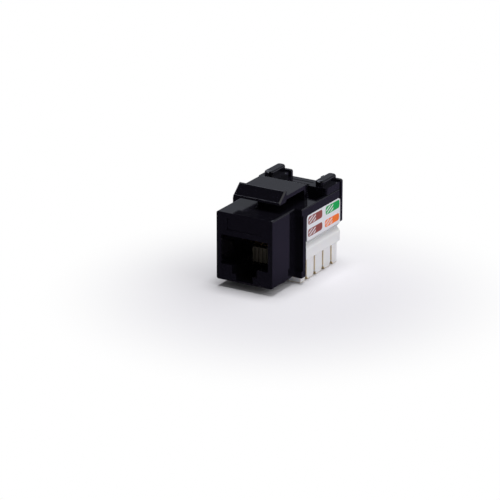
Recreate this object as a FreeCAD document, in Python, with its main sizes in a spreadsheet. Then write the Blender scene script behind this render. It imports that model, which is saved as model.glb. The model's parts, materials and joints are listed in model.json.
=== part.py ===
import FreeCAD, Part
import math
import os
import Sketcher

# Network jack that snaps into a keystone cut-out: a black moulded housing with an eight-way socket in its
# nose, a sprung latch on top, and a white punch-down terminal block facing down at the back.
# Lengths are in mm. In every sub-part X runs to the label's side, Y back from the nose's front face and
# Z up from the level of the terminal posts' feet. Each sub-part's Placement then centres the jack's length.

SIZES = {
    # Nose and flange
    "nose_width": 14.6,
    "nose_height": 16.2,
    "nose_depth": 10.05,
    "nose_lift": 1.8,
    "nose_round": 0.4,
    "flange_width": 18.2,
    "flange_thick": 1.85,
    "flange_drop": 0.24,
    "flange_lip": 1.55,
    "flange_step": 0.6,
    # Frame round the sunk front field
    "field_width": 9.0,
    "field_height": 2.7,
    "field_above": 1.3,
    "field_sunk": 0.2,
    # Socket
    "socket_width": 12.2,
    "socket_height": 7.0,
    "socket_floor": 3.8,
    "key_width": 6.5,
    "key_drop": 1.9,
    "notch_width": 4.3,
    "notch_drop": 1.55,
    "notch_length": 8.6,
    "front_wall": 1.7,
    # Rear shell
    "jack_length": 28.3,
    "side_wall": 0.8,
    "side_height": 8.1,
    "deck_end": 17.7,
    "deck_thick": 1.2,
    "edge_round": 0.25,
    # Fixed catch under the nose
    "catch_width": 11.0,
    "catch_front": 6.2,
    "catch_length": 2.6,
    "catch_height": 1.3,
    # Latch
    "latch_width": 12.3,
    "latch_front": 5.2,
    "latch_wall": 1.4,
    "latch_tongue": 0.95,
    "latch_rise": 3.5,
    "latch_nose_rise": 1.95,
    "latch_lip": 0.6,
    "latch_head": 4.6,
    "latch_head_length": 3.0,
    "latch_crest": 0.6,
    "latch_bevel": 0.35,
    # Rear cover
    "tower_inside": 4.3,
    "tower_front": 21.2,
    "tower_rise": 1.75,
    "tower_round": 0.5,
    "core_wall": 0.8,
    "cover_plate": 0.8,
    "cover_floor": 1.0,
    "cover_sunk": 1.7,
    "cover_proud": 0.2,
    "back_wall": 2.5,
    "back_wall_rise": 0.55,
    "ear_rise": 2.15,
    "ear_round": 0.45,
    "ear_inside": 3.9,
    "plate_drop": 8.1,
    "rail_width": 2.2,
    "rail_centre": 6.75,
    "rail_front": 21.5,
    "rail_rise": 1.45,
    "rail_end_round": 0.85,
    "rail_round": 0.5,
    "slot_length": 5.8,
    "slot_width": 0.35,
    "slot_depth": 1.0,
    # Terminal block
    "post_outside": 8.3,
    "post_inside": 5.0,
    "post_height": 4.8,
    "band_outside": 9.15,
    "band_low": 5.5,
    "band_high": 7.86,
    "band_top": 8.8,
    "block_height": 10.2,
    "block_tuck": 0.3,
    "toe_reach": 1.1,
    "toe_height": 1.35,
    "wire_slot": 0.45,
    "wire_mouth": 1.3,
    "wire_mouth_height": 1.2,
    "wire_mouth_round": 0.6,
    "post_step": 0.75,
    "post_step_depth": 0.12,
    "terminal_pitch": 3.83,
    "terminal_first": 13.5,
    # Punch-down terminals
    "blade_centre": 6.65,
    "blade_width": 2.3,
    "blade_thick": 0.5,
    "blade_low": 1.2,
    "blade_slit": 0.28,
    "blade_mouth": 1.1,
    "blade_mouth_height": 0.9,
    "blade_slit_height": 4.2,
    "leg_width": 0.7,
    "leg_reach": 0.9,
    # Circuit board
    "board_thick": 1.2,
    "board_front": 12.4,
    "board_hole": 1.1,
    "pin_hole": 0.75,
    # Contact wires
    "contact_pitch": 1.02,
    "contact_wire": 0.45,
    "contact_thick": 0.35,
    "contact_lift": 0.7,
    "contact_bend": 0.6,
    "contact_corner": 1.0,
    "contact_end": 8.8,
    "contact_fall": 5.1,
    "pin_row_front": 15.0,
    "pin_row_step": 1.6,
    "pin_reach": 0.5,
    # Contact carrier
    "carrier_front": 9.9,
    "socket_back": 0.9,
    "carrier_width": 9.2,
    "carrier_top": 1.75,
    "carrier_reach": 4.6,
    "carrier_end": 17.4,
    "pad_reach": 0.9,
    "pad_height": 3.6,
    "rib_groove": 0.3,
    # Label
    "label_length": 15.2,
    "label_height": 6.0,
    "label_thick": 0.1,
    "label_round": 0.9,
    "label_margin": 0.12,
    "label_low": 0.02,
    # Clearances
    "fit_gap": 0.1,
    "pivot_gap": 0.08,
}

PER_SIDE = 4
CONTACTS = 8

# Sketch planes: their origin role, and the way that their normal points along the third axis
PLANES = {"XY": ("XY_Plane", 1), "XZ": ("XZ_Plane", -1), "YZ": ("YZ_Plane", 1)}


class Size:
    """A length that carries the sheet formula that it comes from beside its value."""

    def __init__(self, value, formula):
        self.value = float(value)
        self.formula = formula

    def joined(self, sign, other, value):
        return Size(value, f"({self.formula} {sign} {other.formula})")

    def __add__(self, other):
        other = as_size(other)
        return self.joined("+", other, self.value + other.value)

    def __sub__(self, other):
        other = as_size(other)
        return self.joined("-", other, self.value - other.value)

    def __mul__(self, other):
        other = as_size(other)
        return self.joined("*", other, self.value * other.value)

    def __truediv__(self, other):
        other = as_size(other)
        return self.joined("/", other, self.value / other.value)

    def __radd__(self, other):
        return as_size(other) + self

    def __rsub__(self, other):
        return as_size(other) - self

    def __rmul__(self, other):
        return as_size(other) * self

    def __neg__(self):
        return as_size(0) - self


def as_size(item):
    """A plain number as a Size, and a Size as it is."""
    return item if isinstance(item, Size) else Size(item, f"{item:.6g}")


class Sheet:
    """The driving dimensions, each one an attribute that gives its Size."""

    def __init__(self, doc):
        sheet = doc.addObject("Spreadsheet::Sheet", "Sizes")
        for row, (name, value) in enumerate(SIZES.items(), start=1):
            sheet.set(f"A{row}", name)
            sheet.set(f"B{row}", str(value))
            sheet.setAlias(f"B{row}", name)
            setattr(self, name, Size(value, f"Sizes.{name}"))
        doc.recompute()


doc = FreeCAD.newDocument("KeystoneJack")
size = Sheet(doc)

# Levels and places that several sub-parts share
nose_low = size.nose_lift
top = size.nose_lift + size.nose_height
flange_half = size.flange_width / 2
flange_back = size.nose_depth + size.flange_thick
inside_half = flange_half - size.side_wall
side_low = top - size.side_height
shell_end = size.jack_length - size.cover_plate
socket_low = nose_low + size.socket_floor
socket_top = socket_low + size.socket_height
pivot_y = size.deck_end - size.fit_gap - size.latch_wall / 2
pivot_z = top
feet = side_low + size.block_tuck - size.block_height
board_low = feet + size.block_height
board_top = board_low + size.board_thick
contact_z = socket_top + size.contact_lift
carrier_seat = size.carrier_front + size.socket_back


def bind(thing, name, length):
    """Tie a property to its formula."""
    thing.setExpression(name, as_size(length).formula)


def new_body(label):
    """An empty sub-part, placed so that the jack's length is centred."""
    body = doc.addObject("PartDesign::Body", label)
    body.Label = label
    bind(body, "Placement.Base.y", -size.jack_length / 2)
    return body


def origin_item(body, role):
    """One of the body's own planes or axes."""
    return next(item for item in body.Origin.OriginFeatures if item.Role == role)


def new_sketch(body, name, plane, level):
    """A sketch on one of the body's planes, at a level along the third axis."""
    role, way = PLANES[plane]
    sketch = body.newObject("Sketcher::SketchObject", name)
    sketch.AttachmentSupport = [(origin_item(body, role), "")]
    sketch.MapMode = "FlatFace"
    offset = as_size(level) * way
    sketch.AttachmentOffset = FreeCAD.Placement(FreeCAD.Vector(0, 0, offset.value), FreeCAD.Rotation())
    bind(sketch, "AttachmentOffset.Base.z", offset)
    return sketch


def tie_point(sketch, item, end, x, y):
    """Give a point of a sketch its two distances from the origin."""
    for kind, length in (("DistanceX", x), ("DistanceY", y)):
        number = sketch.addConstraint(Sketcher.Constraint(kind, -1, 1, item, end, length.value))
        bind(sketch, f"Constraints[{number}]", length)


def tie_radius(sketch, item, radius):
    number = sketch.addConstraint(Sketcher.Constraint("Radius", item, radius.value))
    bind(sketch, f"Constraints[{number}]", radius)


def draw_circle(sketch, x, y, radius):
    x, y, radius = as_size(x), as_size(y), as_size(radius)
    centre = FreeCAD.Vector(x.value, y.value, 0)
    circle = sketch.addGeometry(Part.Circle(centre, FreeCAD.Vector(0, 0, 1), radius.value))
    tie_point(sketch, circle, 3, x, y)
    tie_radius(sketch, circle, radius)


class Corner:
    """A corner of an outline: its place, the radius of its round, and where that round meets its lines."""

    def __init__(self, entry):
        self.x = as_size(entry[0])
        self.y = as_size(entry[1])
        self.radius = as_size(entry[2]) if len(entry) > 2 else None
        self.at = FreeCAD.Vector(self.x.value, self.y.value, 0)
        self.start = self.at
        self.end = self.at
        self.left_turn = True
        self.arc = None

    def lay_round(self, before, after):
        """Find the round's ends and its arc between the corners before and after."""
        back = (before.at - self.at).normalize()
        ahead = (after.at - self.at).normalize()
        half = back.getAngle(ahead) / 2
        reach = self.radius.value / math.tan(half)
        self.start = self.at + back * reach
        self.end = self.at + ahead * reach
        centre = self.at + (back + ahead).normalize() * (self.radius.value / math.sin(half))
        self.left_turn = ahead.cross(back).z > 0
        first, last = (self.start, self.end) if self.left_turn else (self.end, self.start)
        angles = [math.atan2(point.y - centre.y, point.x - centre.x) for point in (first, last)]
        circle = Part.Circle(centre, FreeCAD.Vector(0, 0, 1), self.radius.value)
        self.arc = Part.ArcOfCircle(circle, angles[0], angles[1])


def draw_outline(sketch, entries, closed=True):
    """Lines through the corners (x, y) or (x, y, radius), each corner tied to the sheet."""
    corners = [Corner(entry) for entry in entries]
    count = len(corners)
    for number, corner in enumerate(corners):
        if corner.radius:
            corner.lay_round(corners[number - 1], corners[(number + 1) % count])
    spans = count if closed else count - 1
    lines = []
    for number in range(spans):
        start, end = corners[number].end, corners[(number + 1) % count].start
        lines.append(sketch.addGeometry(Part.LineSegment(start, end)))
    for number, corner in enumerate(corners):
        line_in = lines[number - 1] if closed or number > 0 else None
        line_out = lines[number] if number < spans else None
        if corner.radius:
            arc = sketch.addGeometry(corner.arc)
            mark = sketch.addGeometry(Part.Point(corner.at), True)
            first, last = (1, 2) if corner.left_turn else (2, 1)
            sketch.addConstraint(Sketcher.Constraint("Tangent", line_in, 2, arc, first))
            sketch.addConstraint(Sketcher.Constraint("Tangent", arc, last, line_out, 1))
            sketch.addConstraint(Sketcher.Constraint("PointOnObject", mark, 1, line_in))
            sketch.addConstraint(Sketcher.Constraint("PointOnObject", mark, 1, line_out))
            tie_radius(sketch, arc, corner.radius)
            tie_point(sketch, mark, 1, corner.x, corner.y)
        elif line_in is None:
            tie_point(sketch, line_out, 1, corner.x, corner.y)
        elif line_out is None:
            tie_point(sketch, line_in, 2, corner.x, corner.y)
        else:
            sketch.addConstraint(Sketcher.Constraint("Coincident", line_in, 2, line_out, 1))
            tie_point(sketch, line_out, 1, corner.x, corner.y)


def rectangle(left, right, low, high, radius=None):
    """The corners of a rectangle, rounded where a radius is given."""
    corners = [(left, low), (right, low), (right, high), (left, high)]
    return [corner + (radius,) for corner in corners] if radius else corners


def mirrored(corners):
    """An outline's right half, from bottom to top, and its mirror image back down."""
    flipped = [(-as_size(corner[0]),) + tuple(corner[1:]) for corner in reversed(corners)]
    return list(corners) + flipped


def prism(body, kind, name, plane, low, high, *outlines):
    """Add a pad or cut a pocket with these outlines, from low to high along the plane's third axis."""
    low, high = as_size(low), as_size(high)
    forward = (PLANES[plane][1] > 0) == (kind == "Pad")
    sketch = new_sketch(body, name + "Sketch", plane, low if forward else high)
    for outline in outlines:
        draw_outline(sketch, outline)
    feature = body.newObject(f"PartDesign::{kind}", name)
    feature.Profile = sketch
    feature.Length = (high - low).value
    bind(feature, "Length", high - low)
    doc.recompute()
    return feature


def pad(body, name, plane, low, high, *outlines):
    return prism(body, "Pad", name, plane, low, high, *outlines)


def pocket(body, name, plane, low, high, *outlines):
    return prism(body, "Pocket", name, plane, low, high, *outlines)


def edges_where(shape, axis, **places):
    """Names of the straight edges along an axis, at the given x, y or z."""
    direction = {"X": FreeCAD.Vector(1, 0, 0), "Y": FreeCAD.Vector(0, 1, 0), "Z": FreeCAD.Vector(0, 0, 1)}[axis]
    names = []
    for number, edge in enumerate(shape.Edges, start=1):
        if edge.Curve.TypeId != "Part::GeomLine":
            continue
        if abs(abs(edge.Curve.Direction * direction) - 1) > 1e-6:
            continue
        middle = edge.CenterOfMass
        found = {"x": abs(middle.x), "y": middle.y, "z": middle.z}
        if all(abs(found[key] - as_size(place).value) < 1e-4 for key, place in places.items()):
            names.append(f"Edge{number}")
    return names


def end_edges(shape, x, *middles):
    """Names of the edges in the end faces at x and -x whose middles lie at these (y, z)."""
    names = []
    for number, edge in enumerate(shape.Edges, start=1):
        middle = edge.CenterOfMass
        for y, z in middles:
            away = (abs(middle.x) - as_size(x).value, middle.y - as_size(y).value, middle.z - as_size(z).value)
            if max(abs(reach) for reach in away) < 1e-4:
                names.append(f"Edge{number}")
    return names


def top_edges(shape, level):
    """Names of every edge that lies in the plane z = level."""
    limits = [(number, edge.BoundBox) for number, edge in enumerate(shape.Edges, start=1)]
    at = as_size(level).value
    return [f"Edge{number}" for number, box in limits if abs(box.ZMin - at) < 1e-4 and abs(box.ZMax - at) < 1e-4]


def finish_edges(body, kind, name, amount, names):
    """Round or bevel the named edges of what the body is so far."""
    base = body.Tip
    feature = body.newObject(f"PartDesign::{kind}", name)
    feature.Base = (base, names)
    bind(feature, "Radius" if kind == "Fillet" else "Size", amount)
    doc.recompute()
    return feature


def repeat(body, name, feature, axis, step, count):
    """Repeat a feature along one of the body's axes."""
    pattern = body.newObject("PartDesign::LinearPattern", name)
    pattern.Originals = [feature]
    pattern.Direction = (origin_item(body, axis), [""])
    pattern.Length = (step * (count - 1)).value
    bind(pattern, "Length", step * (count - 1))
    pattern.Occurrences = count
    body.Tip = pattern
    doc.recompute()
    return pattern


def socket_outline():
    """The plug's opening: a box with a step down for the plug's own catch."""
    key_low = socket_low - size.key_drop
    return mirrored([
        (size.key_width / 2, key_low),
        (size.key_width / 2, socket_low),
        (size.socket_width / 2, socket_low),
        (size.socket_width / 2, socket_top),
    ])


def make_housing():
    """Nose, flange, deck and side walls, moulded in one piece."""
    body = new_body("housing")
    nose_half = size.nose_width / 2
    pad(body, "Nose", "XZ", 0, flange_back, rectangle(-nose_half, nose_half, nose_low, top, size.nose_round))
    flange_low = nose_low - size.flange_drop
    pad(body, "Flange", "XZ", size.nose_depth, flange_back, rectangle(-flange_half, flange_half, flange_low, top))
    pad(body, "Shell", "XZ", flange_back, shell_end, rectangle(-flange_half, flange_half, side_low, top))
    finish_edges(body, "Fillet", "ShellRound", size.edge_round,
                 edges_where(body.Tip.Shape, "Y", x=flange_half, z=top))
    hollow_top = top - size.deck_thick
    pocket(body, "ShellHollow", "XZ", flange_back, shell_end,
           rectangle(-inside_half, inside_half, side_low, hollow_top))
    pocket(body, "Well", "XY", hollow_top, top, rectangle(-inside_half, inside_half, size.deck_end, shell_end))
    lip_low = flange_low + size.flange_lip
    lip_high = top - size.flange_lip
    pocket(body, "FlangeStep", "XZ", size.nose_depth, size.nose_depth + size.flange_step,
           rectangle(nose_half, flange_half, lip_low, lip_high),
           rectangle(-flange_half, -nose_half, lip_low, lip_high))
    pocket(body, "Socket", "XZ", 0, size.carrier_front, socket_outline())
    pocket(body, "CarrierSeat", "XZ", carrier_seat, flange_back, socket_outline())
    key_low = socket_low - size.key_drop
    pad_half = size.key_width / 2
    pocket(body, "PadWindow", "XZ", size.carrier_front, carrier_seat,
           rectangle(-pad_half, pad_half, key_low, key_low + size.pad_height + size.fit_gap * 2))
    notch_half = size.notch_width / 2
    pocket(body, "Notch", "XZ", 0, size.notch_length,
           rectangle(-notch_half, notch_half, key_low - size.notch_drop, key_low))
    bay_half = size.carrier_width / 2 + size.fit_gap
    bay_top = socket_top + size.contact_lift + size.carrier_top + size.fit_gap
    pocket(body, "ContactBay", "XZ", size.front_wall, flange_back,
           rectangle(-bay_half, bay_half, socket_top, bay_top))
    field_low = socket_top + size.field_above
    field_half = size.field_width / 2
    field_frame = rectangle(-field_half, field_half, field_low, field_low + size.field_height)
    pocket(body, "Field", "XZ", 0, size.field_sunk, field_frame)
    groove = new_sketch(body, "LatchGrooveSketch", "YZ", size.latch_width / 2 + size.fit_gap)
    draw_circle(groove, pivot_y, pivot_z, size.latch_wall / 2 + size.pivot_gap)
    cut = body.newObject("PartDesign::Pocket", "LatchGroove")
    cut.Profile = groove
    bind(cut, "Length", size.latch_width + size.fit_gap * 2)
    catch_low = nose_low - size.catch_height
    catch_back = size.catch_front + size.catch_length
    pad(body, "Catch", "YZ", -size.catch_width / 2, size.catch_width / 2, [
        (size.catch_front, nose_low),
        (size.catch_front + size.catch_height, catch_low),
        (catch_back, catch_low),
        (catch_back, nose_low + size.catch_height / 2),
        (size.catch_front, nose_low + size.catch_height / 2),
    ])
    return body


def make_latch():
    """Sprung tongue with its ramped head, on the wall that it flexes from."""
    body = new_body("latch")
    half_wall = size.latch_wall / 2
    tongue_top = top + size.latch_rise
    tongue_low = tongue_top - size.latch_tongue
    head_top = top + size.latch_head
    head_back = size.latch_front + size.latch_head_length
    nose_edge = top + size.latch_nose_rise
    half = size.latch_width / 2
    pad(body, "Tongue", "YZ", -half, half, [
        (size.latch_front, nose_edge),
        (size.latch_front, nose_edge + size.latch_lip),
        (head_back - size.latch_crest, head_top),
        (head_back, head_top),
        (head_back, tongue_top),
        (pivot_y + half_wall, tongue_top, size.latch_tongue / 2),
        (pivot_y + half_wall, pivot_z),
        (pivot_y - half_wall, pivot_z),
        (pivot_y - half_wall, tongue_low, size.latch_tongue / 2),
        (head_back, tongue_low),
        (head_back - size.latch_lip, nose_edge),
    ])
    lip_top = nose_edge + size.latch_lip
    crest_front = head_back - size.latch_crest
    finish_edges(body, "Chamfer", "HeadBevel", size.latch_bevel,
                 end_edges(body.Tip.Shape, half, ((size.latch_front + crest_front) / 2, (lip_top + head_top) / 2)))
    bead = new_sketch(body, "BeadSketch", "YZ", -half)
    draw_circle(bead, pivot_y, pivot_z, half_wall)
    foot = body.newObject("PartDesign::Pad", "Bead")
    foot.Profile = bead
    bind(foot, "Length", size.latch_width)
    doc.recompute()
    return body


def make_rear_cover():
    """Cover over the circuit board, with two towers, their rails and the rear plate."""
    body = new_body("rear_cover")
    inner_half = inside_half - size.fit_gap
    floor_top = top - size.cover_sunk
    floor_low = floor_top - size.cover_floor
    tower_top = top + size.tower_rise
    tower_low = top + size.fit_gap
    pad(body, "Towers", "XZ", size.tower_front, shell_end, mirrored([
        (inner_half, floor_low),
        (inner_half, tower_low),
        (flange_half, tower_low),
        (flange_half, tower_top),
        (size.tower_inside, tower_top),
        (size.tower_inside, floor_top),
    ]))
    finish_edges(body, "Fillet", "TowerRound", size.tower_round,
                 edges_where(body.Tip.Shape, "Z", x=flange_half, y=size.tower_front))
    pad(body, "Floor", "XY", floor_low, floor_top,
        rectangle(-inner_half, inner_half, size.deck_end + size.fit_gap, shell_end))
    core_inner = size.tower_inside + size.core_wall
    core_outer = inner_half - size.core_wall
    core_span = (size.tower_front + size.core_wall, shell_end - size.core_wall)
    pocket(body, "TowerCores", "XY", floor_low, tower_top - size.core_wall,
           rectangle(core_inner, core_outer, *core_span), rectangle(-core_outer, -core_inner, *core_span))
    wall_top = top + size.back_wall_rise
    pad(body, "BackWall", "XY", floor_low, wall_top,
        rectangle(-size.tower_inside, size.tower_inside, shell_end - size.back_wall, shell_end))
    plate_half = flange_half + size.cover_proud
    plate_low = top - size.plate_drop
    ear_top = top + size.ear_rise
    plate_round = size.cover_plate / 2
    pad(body, "RearPlate", "XZ", shell_end, size.jack_length, mirrored([
        (plate_half, plate_low, plate_round),
        (plate_half, ear_top, size.ear_round),
        (size.ear_inside, ear_top, plate_round),
        (size.ear_inside, wall_top),
    ]))
    rail_half = size.rail_width / 2
    rail_top = tower_top + size.rail_rise
    rails = [rectangle(centre - rail_half, centre + rail_half, size.rail_front, size.jack_length,
                       size.rail_end_round)
             for centre in (size.rail_centre, -size.rail_centre)]
    pad(body, "Rails", "XY", tower_top, rail_top, *rails)
    finish_edges(body, "Fillet", "RailRound", size.rail_round, top_edges(body.Tip.Shape, rail_top))
    slot_half = size.slot_length / 2
    slot_back = shell_end - size.cover_plate
    pocket(body, "Slot", "XY", wall_top - size.slot_depth, wall_top,
           rectangle(-slot_half, slot_half, slot_back - size.slot_width, slot_back))
    return body


def make_terminal_block():
    """White block with two rows of posts, a slot for each wire and a pocket for each terminal."""
    body = new_body("terminal_block")
    block_front = flange_back + size.fit_gap
    upper_half = inside_half - size.fit_gap
    flare_top = side_low - size.fit_gap
    post_top = feet + size.post_height
    pad(body, "Block", "XZ", block_front, shell_end, mirrored([
        (size.post_inside, post_top),
        (size.post_inside, feet),
        (size.post_outside, feet),
        (size.post_outside, post_top),
        (size.band_outside, feet + size.band_low),
        (size.band_outside, feet + size.band_high),
        (size.post_outside, feet + size.band_top),
        (flange_half, flare_top),
        (upper_half, flare_top),
        (upper_half, board_low),
    ]))
    toe_top = feet + size.toe_height
    toes = [rectangle(size.post_inside, size.post_outside, feet, toe_top),
            rectangle(-size.post_outside, -size.post_inside, feet, toe_top)]
    pad(body, "Toes", "XZ", block_front - size.toe_reach, block_front, *toes)
    half_slot = size.wire_slot / 2
    half_mouth = size.wire_mouth / 2
    at = size.terminal_first
    mouth_top = feet + size.wire_mouth_height
    bend = feet + size.wire_mouth_height / 4
    step_depth = size.post_outside - size.post_step_depth
    guides = [rectangle(step_depth, size.post_outside, at - size.post_step, at),
              rectangle(-size.post_outside, -step_depth, at - size.post_step, at)]
    guide = pocket(body, "WireGuide", "XY", feet, post_top, *guides)
    repeat(body, "WireGuides", guide, "Y_Axis", size.terminal_pitch, PER_SIDE)
    slot = pocket(body, "WireSlot", "YZ", -size.post_outside, size.post_outside, [
        (at - half_mouth, feet),
        (at + half_mouth, feet),
        (at + (half_slot * 2 + half_mouth) / 3, bend, size.wire_mouth_round),
        (at + half_slot, mouth_top),
        (at + half_slot, post_top),
        (at - half_slot, post_top),
        (at - half_slot, mouth_top),
        (at - (half_slot * 2 + half_mouth) / 3, bend, size.wire_mouth_round),
    ])
    repeat(body, "WireSlots", slot, "Y_Axis", size.terminal_pitch, PER_SIDE)
    half_width = size.blade_width / 2 + size.fit_gap
    half_thick = size.blade_thick / 2 + size.fit_gap
    pockets = [rectangle(centre - half_thick, centre + half_thick, at - half_width, at + half_width)
               for centre in (size.blade_centre, -size.blade_centre)]
    cell = pocket(body, "TerminalPocket", "XY", feet + size.blade_low - size.fit_gap, board_low, *pockets)
    repeat(body, "TerminalPockets", cell, "Y_Axis", size.terminal_pitch, PER_SIDE)
    relief_half = size.carrier_width / 2
    relief_front = size.pin_row_front - size.pin_row_step / 2
    pocket(body, "PinRelief", "XY", board_low - size.pin_reach * 2, board_low,
           rectangle(-relief_half, relief_half, relief_front, relief_front + size.pin_row_step * 2))
    return body


def make_terminal(number):
    """Forked blade that cuts through a wire's sleeve, with a leg up through the board."""
    body = new_body(f"idc_terminal_{number + 1}")
    side = 1 if number < PER_SIDE else -1
    at = size.terminal_first + size.terminal_pitch * (number % PER_SIDE)
    half = size.blade_width / 2
    slit = size.blade_slit / 2
    mouth = size.blade_mouth / 2
    leg = size.leg_width / 2
    low = feet + size.blade_low
    shoulder = board_low - size.fit_gap
    leg_top = board_top + size.leg_reach
    left = size.blade_centre * side - size.blade_thick / 2
    pad(body, "Blade", "YZ", left, left + size.blade_thick, [
        (at + mouth, low),
        (at + half, low),
        (at + half, shoulder),
        (at + leg, shoulder),
        (at + leg, leg_top),
        (at - leg, leg_top),
        (at - leg, shoulder),
        (at - half, shoulder),
        (at - half, low),
        (at - mouth, low),
        (at - slit, low + size.blade_mouth_height),
        (at - slit, low + size.blade_slit_height),
        (at + slit, low + size.blade_slit_height),
        (at + slit, low + size.blade_mouth_height),
    ])
    return body


def pin_place(number):
    """Where a contact's pin stands: two staggered rows, so that the pads don't touch."""
    x = size.contact_pitch * (number - (CONTACTS - 1) / 2)
    return x, size.pin_row_front + size.pin_row_step * (number % 2)


def make_board():
    """Circuit board that joins the contacts to the terminals."""
    body = new_body("circuit_board")
    half = inside_half - size.fit_gap * 2
    back = shell_end - size.fit_gap * 2
    pad(body, "Board", "XY", board_low, board_top, rectangle(-half, half, size.board_front, back))
    sketch = new_sketch(body, "HolesSketch", "XY", board_top)
    for number in range(PER_SIDE):
        for side in (1, -1):
            draw_circle(sketch, size.blade_centre * side, size.terminal_first + size.terminal_pitch * number,
                        size.board_hole / 2)
    for number in range(CONTACTS):
        x, y = pin_place(number)
        draw_circle(sketch, x, y, size.pin_hole / 2)
    holes = body.newObject("PartDesign::Pocket", "Holes")
    holes.Profile = sketch
    bind(holes, "Length", size.board_thick)
    doc.recompute()
    return body


def make_contact(number):
    """Sprung wire: up from the board, forward over the socket and back down into it."""
    body = new_body(f"contact_{number + 1}")
    x, pin_y = pin_place(number)
    bind(body, "Placement.Base.x", x)
    pin_low = board_low - size.pin_reach
    path = new_sketch(body, "PathSketch", "YZ", 0)
    draw_outline(path, [
        (pin_y, pin_low),
        (pin_y, contact_z, size.contact_bend),
        (size.contact_corner, contact_z, size.contact_bend),
        (size.contact_end, contact_z - size.contact_fall),
    ], closed=False)
    half = size.contact_wire / 2
    half_thick = size.contact_thick / 2
    section = new_sketch(body, "SectionSketch", "XY", pin_low)
    draw_outline(section, rectangle(-half, half, pin_y - half_thick, pin_y + half_thick))
    doc.recompute()
    wire = body.newObject("PartDesign::AdditivePipe", "Wire")
    wire.Profile = section
    wire.Spine = (path, [f"Edge{edge + 1}" for edge in range(len(path.Shape.Edges))])
    doc.recompute()
    return body


def make_carrier():
    """Ivory carrier that closes the socket's back and holds the contacts in its grooves."""
    body = new_body("contact_carrier")
    gap = size.fit_gap
    wide = size.socket_width / 2 - gap
    narrow = size.key_width / 2 - gap
    pad_low = socket_low - size.key_drop + gap
    wall_front = carrier_seat + gap
    plate_low = contact_z - size.contact_wire
    plate_top = contact_z + size.carrier_top
    plate_half = size.carrier_width / 2
    pad(body, "Wall", "XZ", wall_front, flange_back, mirrored([
        (narrow, pad_low),
        (narrow, socket_low + gap),
        (wide, socket_low + gap),
        (wide, socket_top - gap),
        (plate_half, socket_top - gap),
        (plate_half, plate_low),
    ]))
    pad(body, "Plate", "XY", plate_low, plate_top,
        rectangle(-plate_half, plate_half, size.carrier_reach, size.carrier_end))
    pad(body, "Pad", "XZ", size.carrier_front - size.pad_reach, wall_front,
        rectangle(-narrow, narrow, pad_low, pad_low + size.pad_height))
    groove_half = size.contact_wire / 2 + size.fit_gap / 2
    first = size.contact_pitch * (CONTACTS - 1) / -2
    groove = pocket(body, "Groove", "XZ", size.carrier_reach, size.carrier_end,
                    rectangle(first - groove_half, first + groove_half, plate_low, contact_z + groove_half))
    repeat(body, "Grooves", groove, "X_Axis", size.contact_pitch, CONTACTS)
    rib_half = size.rib_groove / 2
    ribs = CONTACTS - 2
    rib_first = size.contact_pitch * (ribs - 1) / -2
    pad_front = size.carrier_front - size.pad_reach
    rib = pocket(body, "RibGroove", "XY", pad_low, pad_low + size.pad_height,
                 rectangle(rib_first - rib_half, rib_first + rib_half, pad_front, pad_front + size.rib_groove))
    repeat(body, "RibGrooves", rib, "X_Axis", size.contact_pitch, ribs)
    return body


def make_label():
    """Wiring label on the right side wall."""
    body = new_body("colour_label")
    back = shell_end - size.label_margin
    low = side_low + size.label_low
    pad(body, "Sheet", "YZ", flange_half, flange_half + size.label_thick,
        rectangle(back - size.label_length, back, low, low + size.label_height, size.label_round))
    return body


def main():
    bodies = [make_housing(), make_latch(), make_rear_cover(), make_terminal_block(), make_board(),
              make_carrier(), make_label()]
    bodies += [make_contact(number) for number in range(CONTACTS)]
    bodies += [make_terminal(number) for number in range(PER_SIDE * 2)]
    doc.recompute()
    for item in doc.Objects:
        if "Invalid" in item.State or "Error" in item.State:
            raise RuntimeError(f"{item.Name} failed: {item.State}")
    for body in bodies:
        check_cuts(body)
        if body.Shape.isNull() or not body.Shape.isValid() or len(body.Shape.Solids) != 1:
            raise RuntimeError(f"{body.Label} is not one valid solid")
    os.makedirs("parts", exist_ok=True)
    for body in bodies:
        body.Shape.exportStep(f"parts/{body.Label}.step")
        box = body.Shape.BoundBox
        print(f"{body.Label:18s} volume {body.Shape.Volume:8.2f}  x {box.XMin:6.2f} {box.XMax:6.2f}"
              f"  y {box.YMin:6.2f} {box.YMax:6.2f}  z {box.ZMin:6.2f} {box.ZMax:6.2f}")


def check_cuts(body):
    """Each pad must add material and each pocket must take some away."""
    volume = 0
    for feature in body.Group:
        if not feature.isDerivedFrom("PartDesign::Feature"):
            continue
        after = feature.Shape.Volume
        if feature.TypeId == "PartDesign::Pad" and after <= volume:
            raise RuntimeError(f"{body.Label}.{feature.Name} adds nothing")
        if feature.TypeId == "PartDesign::Pocket" and after >= volume:
            raise RuntimeError(f"{body.Label}.{feature.Name} cuts nothing")
        volume = after


main()
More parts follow.
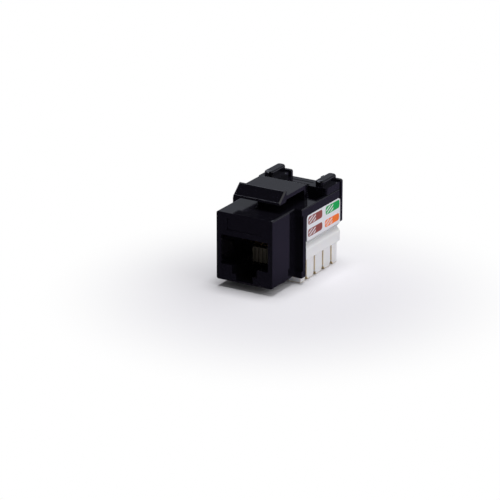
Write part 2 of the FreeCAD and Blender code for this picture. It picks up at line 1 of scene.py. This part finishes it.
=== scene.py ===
import bpy
import bmesh
import json
import math
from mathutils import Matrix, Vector

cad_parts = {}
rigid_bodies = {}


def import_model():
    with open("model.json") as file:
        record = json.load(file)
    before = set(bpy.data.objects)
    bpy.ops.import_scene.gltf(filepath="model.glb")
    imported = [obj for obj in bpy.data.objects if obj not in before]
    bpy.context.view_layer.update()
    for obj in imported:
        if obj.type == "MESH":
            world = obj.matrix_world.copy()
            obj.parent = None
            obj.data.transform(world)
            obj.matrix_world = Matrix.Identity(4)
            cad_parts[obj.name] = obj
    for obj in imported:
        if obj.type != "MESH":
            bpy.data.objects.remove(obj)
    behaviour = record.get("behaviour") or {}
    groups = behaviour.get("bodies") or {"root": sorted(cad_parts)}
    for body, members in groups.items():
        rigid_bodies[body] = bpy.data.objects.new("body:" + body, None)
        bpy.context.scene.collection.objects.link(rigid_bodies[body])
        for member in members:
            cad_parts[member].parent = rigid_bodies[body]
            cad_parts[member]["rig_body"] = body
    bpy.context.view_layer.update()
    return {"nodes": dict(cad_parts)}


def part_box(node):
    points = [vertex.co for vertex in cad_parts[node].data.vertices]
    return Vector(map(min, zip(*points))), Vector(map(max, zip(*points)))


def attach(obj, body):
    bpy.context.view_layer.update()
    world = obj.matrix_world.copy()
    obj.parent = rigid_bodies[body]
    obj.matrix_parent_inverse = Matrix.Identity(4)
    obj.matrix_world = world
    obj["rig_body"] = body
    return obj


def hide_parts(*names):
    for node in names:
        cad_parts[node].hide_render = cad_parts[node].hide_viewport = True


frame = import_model()

# Looks of a black keystone jack with a white punch-down block, on a plain pale floor.
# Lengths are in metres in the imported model's frame: X to the label's side, Y back from the nose, Z up.

MM = 0.001
NOSE_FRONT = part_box("housing")[0].y

# Rounds of the moulded edges
HOUSING_ROUND = 0.12 * MM
BLOCK_ROUND = 0.1 * MM
CARRIER_ROUND = 0.06 * MM
ROUND_FROM = math.radians(38)

# The carrier's sides in the socket, as cut and as pressed into the housing
CARRIER_SIDE = 3.15 * MM
CARRIER_SEAT = 3.25 * MM

# Terminal block: its wire slots, their mouths, and the heights over which painted shade grows in the
# V-shaped groove under the label
TERMINAL_PITCH = 3.83 * MM
FIRST_SLOT = NOSE_FRONT + 13.5 * MM
SLOT_EDGE = (0.26 * MM, 0.22 * MM)
POST_TOP = 4.8 * MM
MOUTH_FLARE = 0.42 * MM
GROOVE_SHADE = (7.95 * MM, 8.9 * MM)

# Label: rounds of the sheet and its fields, and the hatching of the front half of each field
SHEET_CORNER = 0.9 * MM
FIELD_CORNER = 0.62 * MM
HATCH_CORNER = 0.4 * MM
HATCH_RIM = (0.3 * MM, 0.2 * MM)
HATCH_END = 3.5 * MM
HATCH_START = 2.2 * MM
HATCH_PITCH = 1.8 * MM
HATCH_WIDTH = 0.78 * MM
HATCH_SLOPE = 2.1
INK_EDGE = 0.04 * MM

# Circuit board
TRACK_PITCH = 1.02 * MM

# Floor: where it fades to white, for the camera and for mirrored rays
FLOOR_SIZE = 3.0
FADE_MIDDLE = (10 * MM, -11 * MM, 0.0)
FADE_SEEN = (14 * MM, 58 * MM)
FADE_MIRRORED = (150 * MM, 400 * MM)

# Whole pitches added before a pattern repeats, so that it is the same on both sides of zero
PITCHES_AHEAD = 20


class Wiring:
    """The nodes of one material or world, added and joined by plain calls."""

    def __init__(self, tree):
        self.tree = tree
        self.nodes = tree.nodes
        self.nodes.clear()

    def add(self, kind, inputs=None, **settings):
        """One node, with its settings and what goes on its inputs."""
        node = self.nodes.new(kind)
        for name, value in settings.items():
            setattr(node, name, value)
        for name, value in (inputs or {}).items():
            self.give(node.inputs[name], value)
        return node

    def give(self, socket, value):
        """Put a value on a socket, or join it to another node's output."""
        if isinstance(value, bpy.types.NodeSocket):
            self.tree.links.new(value, socket)
        else:
            socket.default_value = value

    def sum(self, operation, first, second=0.0, third=0.0):
        node = self.add("ShaderNodeMath", operation=operation)
        for socket, value in zip(node.inputs, (first, second, third)):
            self.give(socket, value)
        return node.outputs[0]

    def blend(self, share, first, second):
        """The second colour over the first by its share."""
        node = self.add("ShaderNodeMix", data_type="RGBA")
        self.give(node.inputs["Factor"], share)
        self.give(node.inputs["A"], first)
        self.give(node.inputs["B"], second)
        return node.outputs["Result"]

    def span(self, value, low, high, to_low=0.0, to_high=1.0):
        """A value moved smoothly from one span to another, and kept in it."""
        node = self.add("ShaderNodeMapRange", interpolation_type="SMOOTHSTEP")
        for name, item in (("Value", value), ("From Min", low), ("From Max", high),
                           ("To Min", to_low), ("To Max", to_high)):
            self.give(node.inputs[name], item)
        return node.outputs["Result"]

    def from_line(self, value, pitch, offset=0.0):
        """How far a value lies from the nearest of the lines that are a pitch apart."""
        ahead = self.sum("ADD", value, offset + pitch * PITCHES_AHEAD)
        return self.sum("PINGPONG", ahead, pitch / 2)

    def place(self):
        """The point on the piece, in metres."""
        return self.add("ShaderNodeTexCoord").outputs["Object"]

    def parts(self, vector):
        """The x, y and z of a vector."""
        return self.add("ShaderNodeSeparateXYZ", {"Vector": vector}).outputs

    def rays(self):
        """Whether a ray comes straight from the camera, and whether it is mirrored or let through."""
        ray = self.add("ShaderNodeLightPath").outputs
        return ray["Is Camera Ray"], self.sum("MAXIMUM", ray["Is Glossy Ray"], ray["Is Transmission Ray"])

    def grain(self, vector, per_mm, detail=2.0, roughness=0.5):
        node = self.add("ShaderNodeTexNoise", {"Vector": vector, "Scale": per_mm / MM,
                                               "Detail": detail, "Roughness": roughness})
        return node.outputs["Fac"]

    def relief(self, height, depth, strength=1.0, under=None):
        """Surface directions for a height, over those of the relief under it."""
        node = self.add("ShaderNodeBump", {"Strength": strength, "Distance": depth, "Height": height})
        if under is not None:
            self.give(node.inputs["Normal"], under)
        return node.outputs["Normal"]


def colour(red, green, blue):
    """A colour as it looks on screen, from 0 to 255, as the linear one that nodes take."""
    linear = []
    for part in (red, green, blue):
        share = part / 255
        linear.append(share / 12.92 if share <= 0.04045 else ((share + 0.055) / 1.055) ** 2.4)
    return (*linear, 1.0)


def new_material(name):
    material = bpy.data.materials.new(name)
    material.use_nodes = True
    return material, Wiring(material.node_tree)


def close_material(wiring, constants, **sockets):
    """End a material in one Principled surface, with plain numbers and what varies on its sockets."""
    surface = wiring.add("ShaderNodeBsdfPrincipled")
    for name, value in constants.items():
        surface.inputs[name].default_value = value
    for name, value in sockets.items():
        wiring.give(surface.inputs[name.replace("_", " ")], value)
    out = wiring.add("ShaderNodeOutputMaterial")
    wiring.tree.links.new(surface.outputs["BSDF"], out.inputs["Surface"])


def black_moulding():
    """Glossy black plastic with a faint cool tint, moulding flow and fine spark texture."""
    material, w = new_material("black_moulding")
    place = w.place()
    flow = w.grain(place, 0.12, 3.0)
    spark = w.grain(place, 9.0, 3.0, 0.6)
    waves = w.grain(place, 0.35, 1.0)
    base = w.blend(flow, colour(12, 11, 17), colour(15, 14, 20))
    uneven = w.sum("MULTIPLY_ADD", spark, 0.5, w.sum("MULTIPLY", flow, 0.5))
    rough = w.span(uneven, 0.3, 0.7, 0.06, 0.12)
    bumps = w.relief(waves, 0.02 * MM, 0.6)
    bumps = w.relief(spark, 0.004 * MM, 0.5, bumps)
    close_material(w, {"Specular IOR Level": 0.5}, Base_Color=base, Roughness=rough, Normal=bumps)
    return material


def white_moulding():
    """Satin white plastic of the block, with painted shade in the groove under the label, amber painted on
    the walls of its wire slots for light coming through them, and a darker amber painted as shade in the
    slots' mouths and as a contact shadow along the bottom edge.
    """
    material, w = new_material("white_moulding")
    place = w.place()
    _, y, z = w.parts(place)
    cloud = w.grain(place, 0.15, 3.0)
    fine = w.grain(place, 7.0, 2.0)
    base = w.blend(cloud, colour(230, 230, 231), colour(237, 237, 238))
    # Painted shade: the groove under the label is darkened towards its top, where the label's edge shades
    # it.
    groove = w.sum("MULTIPLY", w.span(z, *GROOVE_SHADE), 0.75)
    base = w.blend(groove, base, colour(196, 196, 197))
    along = w.from_line(w.sum("SUBTRACT", y, FIRST_SLOT), TERMINAL_PITCH)
    slot_glow = w.span(along, *SLOT_EDGE)
    low = w.span(z, POST_TOP + 0.1 * MM, POST_TOP - 0.2 * MM)
    # Painted glow: the walls of the wire slots below the post tops are tinted amber for light coming through
    # the thin white walls.
    base = w.blend(w.sum("MULTIPLY", slot_glow, low), base, colour(236, 222, 196))
    # Painted shade: the flared mouths of the slots and a thin band along the bottom edge get a darker amber,
    # the band as a contact shadow.
    flare = w.span(z, 1.2 * MM, 0.2 * MM, 0.0, MOUTH_FLARE)
    in_mouth = w.span(w.sum("SUBTRACT", along, flare), *SLOT_EDGE)
    mouth_shade = w.sum("MULTIPLY", in_mouth, w.span(z, 1.0 * MM, 0.4 * MM))
    above_sole = w.span(z, 0.0, 0.04 * MM, 0.0, 0.6)
    foot_shadow = w.sum("MULTIPLY", w.span(z, 0.25 * MM, 0.1 * MM), above_sole)
    base = w.blend(w.sum("MAXIMUM", mouth_shade, foot_shadow), base, colour(196, 174, 130))
    rough = w.span(fine, 0.3, 0.7, 0.36, 0.5)
    bumps = w.relief(fine, 0.006 * MM, 0.5, w.relief(cloud, 0.03 * MM, 0.4))
    glow = {"Subsurface Weight": 0.15, "Subsurface Radius": (1.0, 0.8, 0.55),
            "Subsurface Scale": 0.6 * MM}
    close_material(w, glow, Base_Color=base, Roughness=rough, Normal=bumps)
    return material


def ivory_with_painted_shade():
    """Unpigmented ivory plastic of the contact carrier, darkened throughout as painted shade for the deep
    socket it sits in.
    """
    material, w = new_material("ivory_with_painted_shade")
    place = w.place()
    cloud = w.grain(place, 0.3, 3.0)
    fine = w.grain(place, 8.0, 2.0)
    # Painted shade: the ivory is written much darker than the plastic is, for the shade of the deep socket.
    base = w.blend(cloud, colour(98, 93, 80), colour(108, 102, 88))
    rough = w.span(fine, 0.3, 0.7, 0.35, 0.48)
    close_material(w, {}, Base_Color=base, Roughness=rough, Normal=w.relief(fine, 0.006 * MM, 0.5))
    return material


class Print:
    """Rounded fields and stripes of a print that lies across Y and Z."""

    def __init__(self, wiring, y, z):
        self.w = wiring
        self.y = y
        self.z = z

    def field(self, low, high, radius):
        """Share of the point that lies in the rounded rectangle between two corners (y, z)."""
        w = self.w
        reaches = []
        for at, first, last in ((self.y, low[0], high[0]), (self.z, low[1], high[1])):
            from_middle = w.sum("ABSOLUTE", w.sum("SUBTRACT", at, (first + last) / 2))
            reaches.append(w.sum("SUBTRACT", from_middle, (last - first) / 2 - radius))
        outside = [w.sum("MAXIMUM", reach, 0.0) for reach in reaches]
        squares = w.sum("MULTIPLY_ADD", outside[0], outside[0], w.sum("MULTIPLY", outside[1], outside[1]))
        inside = w.sum("MINIMUM", w.sum("MAXIMUM", reaches[0], reaches[1]), 0.0)
        distance = w.sum("SUBTRACT", w.sum("ADD", w.sum("SQRT", squares), inside), radius)
        return w.span(distance, INK_EDGE, -INK_EDGE)

    def stripes(self, through, pitch, width, slope):
        """Slanted lines, pitch apart and width wide along Y, one of them through a point (y, z)."""
        w = self.w
        slanted = w.sum("SUBTRACT", self.y, w.sum("MULTIPLY", self.z, slope))
        along = w.from_line(slanted, pitch, slope * through[1] - through[0])
        return w.span(along, (width + 0.1 * MM) / 2, (width - 0.1 * MM) / 2)


def printed_film():
    """White wiring label: four colour fields, each with one half hatched."""
    material, w = new_material("printed_film")
    place = w.place()
    _, y, z = w.parts(place)
    cloud = w.grain(place, 0.6, 2.0)
    dots = w.grain(place, 6.0, 1.0)
    uneven = w.sum("MULTIPLY_ADD", cloud, 0.5, w.sum("MULTIPLY", dots, 0.5))
    base = w.blend(uneven, colour(222, 222, 229), colour(236, 236, 240))
    marks = Print(w, y, z)
    brown = (colour(154, 80, 74), colour(142, 70, 64))
    green = (colour(0, 176, 88), colour(0, 164, 78))
    orange = (colour(252, 126, 42), colour(246, 114, 30))
    # Two corners of each field, in mm back from the nose and up, and its inks
    fields = [((12.7, 13.6), (19.1, 15.55), brown), ((20.65, 13.6), (27.05, 15.6), green),
              ((12.65, 10.7), (19.15, 12.55), brown), ((20.35, 10.65), (26.9, 12.4), orange)]
    for low, high, inks in fields:
        low = [NOSE_FRONT + low[0] * MM, low[1] * MM]
        high = [NOSE_FRONT + high[0] * MM, high[1] * MM]
        first_line = (low[0] + HATCH_START, (low[1] + high[1]) / 2)
        hatch = marks.stripes(first_line, HATCH_PITCH, HATCH_WIDTH, HATCH_SLOPE)
        hatched = marks.field((low[0] + HATCH_RIM[0], low[1] + HATCH_RIM[1]),
                              (low[0] + HATCH_END, high[1] - HATCH_RIM[1]), HATCH_CORNER)
        printed = w.sum("SUBTRACT", 1.0, w.sum("MULTIPLY", hatch, hatched))
        share = w.sum("MULTIPLY", marks.field(low, high, FIELD_CORNER), printed)
        base = w.blend(share, base, w.blend(dots, *inks))
    rough = w.span(dots, 0.3, 0.7, 0.34, 0.46)
    close_material(w, {"Specular IOR Level": 0.25}, Base_Color=base, Roughness=rough,
                   Normal=w.relief(cloud, 0.01 * MM, 0.4))
    return material


def green_laminate():
    """Circuit board under solder mask, with its copper tracks standing a little proud."""
    material, w = new_material("green_laminate")
    place = w.place()
    x = w.parts(place)[0]
    cloud = w.grain(place, 0.4, 2.0)
    weave = w.add("ShaderNodeTexWave", {"Vector": place, "Scale": 0.45 / MM, "Distortion": 1.2},
                  bands_direction="Y").outputs["Fac"]
    from_track = w.sum("SUBTRACT", w.sum("PINGPONG", x, TRACK_PITCH / 2), 0.25 * MM)
    tracks = w.span(w.sum("ABSOLUTE", from_track), 0.12 * MM, 0.08 * MM)
    base = w.blend(cloud, colour(22, 88, 50), colour(30, 104, 60))
    base = w.blend(w.sum("MULTIPLY", tracks, 0.6), base, colour(48, 128, 66))
    rough = w.span(cloud, 0.3, 0.7, 0.25, 0.4)
    bumps = w.relief(weave, 0.01 * MM, 0.3, w.relief(tracks, 0.03 * MM, 0.6))
    close_material(w, {}, Base_Color=base, Roughness=rough, Normal=bumps)
    return material


def plated(name, dark, light, per_mm, low, high):
    """Plated metal with drawing marks along the part."""
    material, w = new_material(name)
    place = w.place()
    cloud = w.grain(place, 0.8, 3.0)
    stretched = w.add("ShaderNodeMapping", {"Vector": place, "Scale": (1.0, 0.15, 0.15)}).outputs[0]
    marks = w.grain(stretched, per_mm, 2.0)
    base = w.blend(cloud, dark, light)
    rough = w.span(marks, 0.3, 0.7, low, high)
    close_material(w, {"Metallic": 1.0}, Base_Color=base, Roughness=rough,
                   Normal=w.relief(marks, 0.004 * MM, 0.4))
    return material


def add_mesh(name, shape):
    """An object with the mesh of a finished shape."""
    mesh = bpy.data.meshes.new(name)
    shape.to_mesh(mesh)
    shape.free()
    piece = bpy.data.objects.new(name, mesh)
    bpy.context.scene.collection.objects.link(piece)
    return piece


def softened(name, material, width, side=None, seat=None):
    """A copy of a CAD node with its moulded edges rounded, which stands for the node.

    Its faces at x = side, on both sides, go out to seat, where the piece is pressed in.
    """
    source = frame["nodes"][name]
    shape = bmesh.new()
    shape.from_mesh(source.data)
    bmesh.ops.remove_doubles(shape, verts=shape.verts, dist=1e-6)
    bmesh.ops.dissolve_limit(shape, angle_limit=math.radians(1), verts=shape.verts, edges=shape.edges)
    if side is not None:
        for corner in shape.verts:
            if abs(abs(corner.co.x) - side) < 0.02 * MM:
                corner.co.x = math.copysign(seat, corner.co.x)
    piece = add_mesh(name + "_moulding", shape)
    bevel = piece.modifiers.new("edge", "BEVEL")
    bevel.width = width
    bevel.segments = 2
    bevel.limit_method = "ANGLE"
    bevel.angle_limit = ROUND_FROM
    bevel.use_clamp_overlap = True
    finished(piece, material, name)


def shade(mesh):
    """Flat faces stay flat, and the rounds between them blend from one to the next."""
    faces_at = [[] for vertex in mesh.vertices]
    for face in mesh.polygons:
        face.use_smooth = True
        for vertex in face.vertices:
            faces_at[vertex].append((face.normal.copy(), (face.area / MM ** 2) ** 2))
    normals = []
    for face in mesh.polygons:
        for vertex in face.vertices:
            blended = face.normal * 1e-9
            for normal, weight in faces_at[vertex]:
                if face.normal.dot(normal) > 0.6:
                    blended += normal * weight
            normals.append(blended.normalized())
    mesh.normals_split_custom_set(normals)


def finished(piece, material, node):
    """Turn the modifiers into plain mesh, give the material, and let the piece stand for its node."""
    graph = bpy.context.evaluated_depsgraph_get()
    mesh = bpy.data.meshes.new_from_object(piece.evaluated_get(graph), depsgraph=graph)
    piece.modifiers.clear()
    piece.data = mesh
    shade(mesh)
    mesh.materials.clear()
    mesh.materials.append(material)
    source = frame["nodes"][node]
    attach(piece, source["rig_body"])
    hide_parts(node)


def film_sheet(material):
    """The wiring label: rounded at its upper corners, and cut square along the wall's lower edge."""
    low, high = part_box("colour_label")
    outline = [(low.y, low.z), (high.y, low.z)]
    for centre, start in ((high.y - SHEET_CORNER, 0), (low.y + SHEET_CORNER, 90)):
        for step in range(9):
            turn = math.radians(start + step * 90 / 8)
            outline.append((centre + SHEET_CORNER * math.cos(turn),
                            high.z - SHEET_CORNER + SHEET_CORNER * math.sin(turn)))
    shape = bmesh.new()
    front = shape.faces.new([shape.verts.new((high.x, y, z)) for y, z in outline])
    back = bmesh.ops.extrude_face_region(shape, geom=[front])
    moved = [item for item in back["geom"] if isinstance(item, bmesh.types.BMVert)]
    bmesh.ops.translate(shape, verts=moved, vec=(low.x - high.x, 0, 0))
    bmesh.ops.recalc_face_normals(shape, faces=shape.faces)
    finished(add_mesh("label_sheet", shape), material, "colour_label")


def coat(node, material):
    """Give a CAD node that stays as it is its material."""
    mesh = frame["nodes"][node].data
    mesh.materials.clear()
    mesh.materials.append(material)


def make_floor():
    """Pale floor without sheen, which fades to white away from the jack and is dimmer when mirrored."""
    shape = bmesh.new()
    bmesh.ops.create_grid(shape, x_segments=8, y_segments=8, size=FLOOR_SIZE)
    floor = add_mesh("floor", shape)
    material, w = new_material("pale_floor")
    place = w.place()
    y = w.parts(place)[1]
    seen, mirrored = w.rays()
    pale = w.blend(w.grain(place, 0.02, 3.0), colour(224, 223, 228), colour(228, 227, 231))
    dim = w.blend(w.span(y, -30 * MM, 20 * MM), colour(60, 56, 72), colour(102, 96, 122))
    surface = w.add("ShaderNodeBsdfPrincipled", {"Roughness": 0.6, "Specular IOR Level": 0.0})
    w.give(surface.inputs["Base Color"], w.blend(mirrored, pale, dim))
    away = w.add("ShaderNodeVectorMath", {0: place, 1: FADE_MIDDLE}, operation="DISTANCE").outputs["Value"]
    faded = w.sum("MAXIMUM", w.sum("MULTIPLY", w.span(away, *FADE_SEEN), seen),
                  w.sum("MULTIPLY", w.span(away, *FADE_MIRRORED), mirrored))
    white = w.add("ShaderNodeEmission", {"Color": (1, 1, 1, 1), "Strength": 1.0})
    mixed = w.add("ShaderNodeMixShader", {"Fac": faded})
    w.tree.links.new(surface.outputs[0], mixed.inputs[1])
    w.tree.links.new(white.outputs[0], mixed.inputs[2])
    out = w.add("ShaderNodeOutputMaterial")
    w.tree.links.new(mixed.outputs[0], out.inputs["Surface"])
    floor.data.materials.append(material)


def panel(w, direction, across, along, up, power):
    """A soft-edged panel in the sky, between the directions that each span says."""
    x, y, z = direction
    sides = w.sum("MULTIPLY", w.span(x, *across), w.span(y, *along))
    return w.sum("MULTIPLY", sides, w.span(z, *up, 0.0, power))


def make_world():
    """White background, with a studio for mirrored rays and a dim light from the label's side for the rest.

    The studio is dark on the camera's side and brighter behind, at the horizon and overhead, with two panels
    up on the left.
    """
    world = bpy.data.worlds.new("studio")
    bpy.context.scene.world = world
    world.use_nodes = True
    w = Wiring(world.node_tree)
    outward = w.add("ShaderNodeTexCoord").outputs["Generated"]
    direction = w.parts(outward)
    _, y, z = direction
    horizon = w.sum("MULTIPLY", w.span(z, 0.16, 0.04), w.span(y, 0.3, 0.8))
    back_panel = panel(w, direction, (-0.1, -0.3), (0.05, 0.25), (0.45, 0.6), 3.0)
    front_panel = panel(w, direction, (-0.25, -0.35), (-0.4, -0.52), (0.42, 0.55), 7.0)
    overhead = w.span(z, 0.9, 0.98, 0.0, 0.12)
    studio = w.span(y, 0.0, 0.5, 0.02, 0.28)
    for light in (horizon, back_panel, front_panel, overhead):
        studio = w.sum("MAXIMUM", studio, light)
    lit = w.add("ShaderNodeVectorMath", {0: outward, 1: (0.9, 0.3, 0.3)}, operation="DOT_PRODUCT")
    ambient = w.span(lit.outputs["Value"], -0.1, 0.9, 0.06, 0.74)
    seen, mirrored = w.rays()
    strength = w.sum("MULTIPLY_ADD", mirrored, w.sum("SUBTRACT", studio, ambient), ambient)
    strength = w.sum("MAXIMUM", strength, seen)
    tint = w.blend(mirrored, (1.0, 1.0, 1.0, 1.0), (0.84, 0.88, 1.0, 1.0))
    background = w.add("ShaderNodeBackground", {"Color": tint, "Strength": strength})
    out = w.add("ShaderNodeOutputWorld")
    w.tree.links.new(background.outputs[0], out.inputs["Surface"])


def add_lamp(name, place, side, power, mirrored):
    """A square lamp that points at the jack, in watts, and whether glossy surfaces mirror it."""
    lamp = bpy.data.lights.new(name, "AREA")
    lamp.shape = "SQUARE"
    lamp.size = side
    lamp.energy = power
    rig = bpy.data.objects.new(name, lamp)
    bpy.context.scene.collection.objects.link(rig)
    rig.location = place
    rig.rotation_euler = (Vector((0, 0, 10 * MM)) - Vector(place)).to_track_quat("-Z", "Y").to_euler()
    rig.visible_glossy = mirrored


def make_camera():
    """The camera that the photograph's edges were solved for."""
    turn, rise = math.radians(30.38), math.radians(19.96)
    distance = 704.8 * MM
    aside, down = 6.44 * MM, 2.32 * MM
    back = Vector((math.sin(turn) * math.cos(rise), -math.cos(turn) * math.cos(rise), math.sin(rise)))
    right = Vector((math.cos(turn), math.sin(turn), 0))
    up = back.cross(right)
    target = Vector((3.0 * MM, NOSE_FRONT + 10 * MM, 9.8 * MM))
    place = target + back * distance
    centre = target - right * aside - up * down
    camera = bpy.data.cameras.new("camera")
    camera.sensor_width = 36
    camera.lens = 224.04
    camera.clip_start = 0.01
    camera.clip_end = 20
    rig = bpy.data.objects.new("camera", camera)
    bpy.context.scene.collection.objects.link(rig)
    rig.location = place
    rig.rotation_euler = (centre - place).to_track_quat("-Z", "Y").to_euler()
    bpy.context.scene.camera = rig


black = black_moulding()
white = white_moulding()
ivory = ivory_with_painted_shade()
gold = plated("gold_plate", colour(198, 152, 78), colour(222, 178, 98), 6.0, 0.16, 0.3)
tin = plated("tin_plate", colour(176, 174, 168), colour(196, 194, 188), 5.0, 0.22, 0.38)

for moulding in ("housing", "latch", "rear_cover"):
    softened(moulding, black, HOUSING_ROUND)
softened("terminal_block", white, BLOCK_ROUND)
softened("contact_carrier", ivory, CARRIER_ROUND, CARRIER_SIDE, CARRIER_SEAT)
film_sheet(printed_film())
coat("circuit_board", green_laminate())
for number in range(1, 9):
    coat(f"contact_{number}", gold)
    coat(f"idc_terminal_{number}", tin)

make_floor()
make_world()
add_lamp("key", (0.0, 0.03, 1.0), 0.45, 7.1, mirrored=False)
add_lamp("side", (0.8, 0.1, 0.6), 0.6, 1.2, mirrored=True)
make_camera()

view = bpy.context.scene.view_settings
view.view_transform = "Standard"
